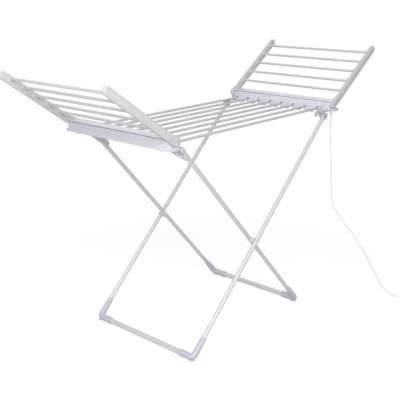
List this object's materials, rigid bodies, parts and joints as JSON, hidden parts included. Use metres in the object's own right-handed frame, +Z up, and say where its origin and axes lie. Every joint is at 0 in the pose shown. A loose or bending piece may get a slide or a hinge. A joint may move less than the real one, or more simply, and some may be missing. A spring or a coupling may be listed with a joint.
{
  "type": "heated clothes airer",
  "caption": "Folding heated clothes airer: a rack of heated bars on crossed legs, with a raised wing of bars at each end and a mains cord.",
  "frame": {"origin": "on the floor, midway between the two end housings and midway between the near and far sides", "axes": "+X along the rack towards the end housing with the cord, +Y from the near side to the far side, +Z up"},
  "size_m": [1.5166, 1.0246, 1.0482],
  "materials": {
    "housing_plastic": "fine matt, pale lilac grey",
    "elbow_plastic": "matt, blue grey",
    "leg_aluminium": "satin anodised",
    "bar_aluminium": "satin, coated grey",
    "pin_steel": "plain",
    "wire_insulation": "silicone",
    "cord_jacket": "smooth white",
    "white_plastic": "satin white",
    "black_plastic": "glossy black"
  },
  "bodies": {
    "rack": {"right_housing_base": "housing_plastic", "right_housing_cover": "housing_plastic", "left_housing_base": "housing_plastic", "left_housing_cover": "housing_plastic", "rack_bar_1": "bar_aluminium", "rack_bar_2": "bar_aluminium", "rack_bar_3": "bar_aluminium", "rack_bar_4": "bar_aluminium", "rack_bar_5": "bar_aluminium", "rack_bar_6": "bar_aluminium", "rack_bar_7": "bar_aluminium", "rack_bar_8": "bar_aluminium", "rack_heating_wire": "wire_insulation", "leg_bracket_near": "housing_plastic", "leg_bracket_far": "housing_plastic", "leg_catch_near": "housing_plastic", "leg_catch_far": "housing_plastic", "leg_hinge_pin_near": "pin_steel", "leg_hinge_pin_far": "pin_steel", "switch_body": "black_plastic", "terminal_block": "white_plastic", "cord_gland": "white_plastic", "cord_hang": "cord_jacket", "cord_coil": "cord_jacket", "plug": "white_plastic"},
    "right_wing": {"right_wing_arm_near": "housing_plastic", "right_wing_arm_far": "housing_plastic", "right_wing_bar_1": "bar_aluminium", "right_wing_bar_2": "bar_aluminium", "right_wing_bar_3": "bar_aluminium", "right_wing_bar_4": "bar_aluminium", "right_wing_bar_5": "bar_aluminium", "right_wing_heating_wire": "wire_insulation"},
    "left_wing": {"left_wing_arm_near": "housing_plastic", "left_wing_arm_far": "housing_plastic", "left_wing_bar_1": "bar_aluminium", "left_wing_bar_2": "bar_aluminium", "left_wing_bar_3": "bar_aluminium", "left_wing_bar_4": "bar_aluminium", "left_wing_bar_5": "bar_aluminium", "left_wing_heating_wire": "wire_insulation"},
    "inner_legs": {"inner_leg_near": "leg_aluminium", "inner_leg_far": "leg_aluminium", "inner_foot_tube": "leg_aluminium", "inner_elbow_near": "elbow_plastic", "inner_elbow_far": "elbow_plastic", "inner_leg_cap_near": "housing_plastic", "inner_leg_cap_far": "housing_plastic", "cross_rivet_near": "pin_steel", "cross_rivet_far": "pin_steel", "cross_spacer_near": "elbow_plastic", "cross_spacer_far": "elbow_plastic"},
    "outer_legs": {"outer_leg_near": "leg_aluminium", "outer_leg_far": "leg_aluminium", "outer_foot_tube": "leg_aluminium", "outer_elbow_near": "elbow_plastic", "outer_elbow_far": "elbow_plastic", "outer_leg_claw_near": "housing_plastic", "outer_leg_claw_far": "housing_plastic"},
    "switch_rocker": {"switch_rocker": "black_plastic"}
  },
  "joints": [
    {"name": "right_wing_hinge", "type": "hinge", "parent": "rack", "child": "right_wing", "pos_m": [0.4595, 0, 0.832], "axis": [0, -1, 0], "range_deg": [-36, 144]},
    {"name": "left_wing_hinge", "type": "hinge", "parent": "rack", "child": "left_wing", "pos_m": [-0.4595, 0, 0.832], "axis": [0, 1, 0], "range_deg": [-36, 144]},
    {"name": "leg_fold", "type": "hinge", "parent": "rack", "child": "inner_legs", "pos_m": [-0.395, 0, 0.786], "axis": [0, -1, 0], "range_deg": [0, 43.5]},
    {"name": "leg_cross", "type": "hinge", "parent": "inner_legs", "child": "outer_legs", "pos_m": [-0.02964, 0, 0.36573], "axis": [0, 1, 0], "range_deg": [0, 85.4]},
    {"name": "switch_rock", "type": "hinge", "parent": "rack", "child": "switch_rocker", "pos_m": [0.489, -0.19, 0.82225], "axis": [0, 0, 1], "range_deg": [0, 14]}
  ],
  "couplings": [
    {"joint": "leg_cross", "follows": "leg_fold", "ratio": 1.9633}
  ]
}
